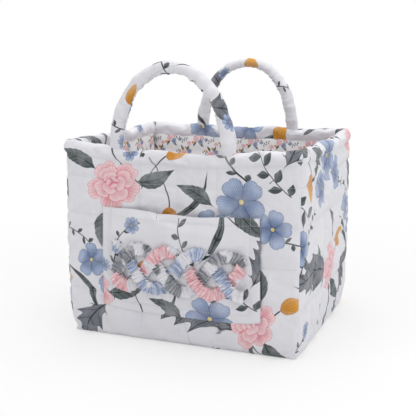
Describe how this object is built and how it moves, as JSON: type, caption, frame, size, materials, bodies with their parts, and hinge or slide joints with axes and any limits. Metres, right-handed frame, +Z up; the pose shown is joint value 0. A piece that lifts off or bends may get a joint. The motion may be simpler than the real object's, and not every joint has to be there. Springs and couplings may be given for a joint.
{
  "type": "fabric storage basket",
  "caption": "Quilted fabric storage basket, open at the top, with a rolled padded rim, stuffed carrying handles and a lined patch pocket on its front.",
  "frame": {"origin": "centre of the base's underside, on the surface that the basket stands on", "axes": "+Z up; the front, with the pocket, faces -Y; +X to the right seen from the front"},
  "size_m": [0.253, 0.2282, 0.285],
  "materials": {
    "printed_cotton": "white cotton with a floral print, quilted",
    "lining_cotton": "white cotton with a small flower print",
    "wadding": "lofty polyester wadding",
    "cord": "soft cotton filler cord",
    "board": "semi-rigid white sheet",
    "blue_print": "gathered blue printed cotton",
    "pink_print": "gathered pink printed cotton",
    "grey_print": "gathered grey printed cotton"
  },
  "bodies": {
    "basket": {"front_outer_panel": "printed_cotton", "front_rim_roll": "wadding", "front_wadding": "wadding", "front_lining": "lining_cotton", "right_outer_panel": "printed_cotton", "right_rim_roll": "wadding", "right_wadding": "wadding", "right_lining": "lining_cotton", "back_outer_panel": "printed_cotton", "back_rim_roll": "wadding", "back_wadding": "wadding", "back_lining": "lining_cotton", "left_outer_panel": "printed_cotton", "left_rim_roll": "wadding", "left_wadding": "wadding", "left_lining": "lining_cotton", "base_outer_panel": "printed_cotton", "base_wadding": "wadding", "base_board": "board", "base_lining": "lining_cotton", "pocket_backing": "lining_cotton", "pocket_face": "printed_cotton", "blue_ruched_strip": "blue_print", "pink_ruched_strip": "pink_print", "grey_ruched_strip": "grey_print", "front_handle_left_tail": "printed_cotton", "front_handle_right_tail": "printed_cotton", "back_handle_left_tail": "printed_cotton", "back_handle_right_tail": "printed_cotton"},
    "front_handle": {"front_handle_cover": "printed_cotton", "front_handle_core": "cord", "front_handle_left_end": "printed_cotton", "front_handle_right_end": "printed_cotton"},
    "back_handle": {"back_handle_cover": "printed_cotton", "back_handle_core": "cord", "back_handle_left_end": "printed_cotton", "back_handle_right_end": "printed_cotton"}
  },
  "joints": [
    {"name": "front_handle_swing", "type": "hinge", "parent": "basket", "child": "front_handle", "pos_m": [-0.01, -0.101, 0.20772], "axis": [1, 0, 0], "range_deg": [-85, 85], "stiffness_Nm_per_rad": 0.02},
    {"name": "back_handle_swing", "type": "hinge", "parent": "basket", "child": "back_handle", "pos_m": [0.003, 0.101, 0.2126], "axis": [1, 0, 0], "range_deg": [-85, 85], "stiffness_Nm_per_rad": 0.02}
  ]
}
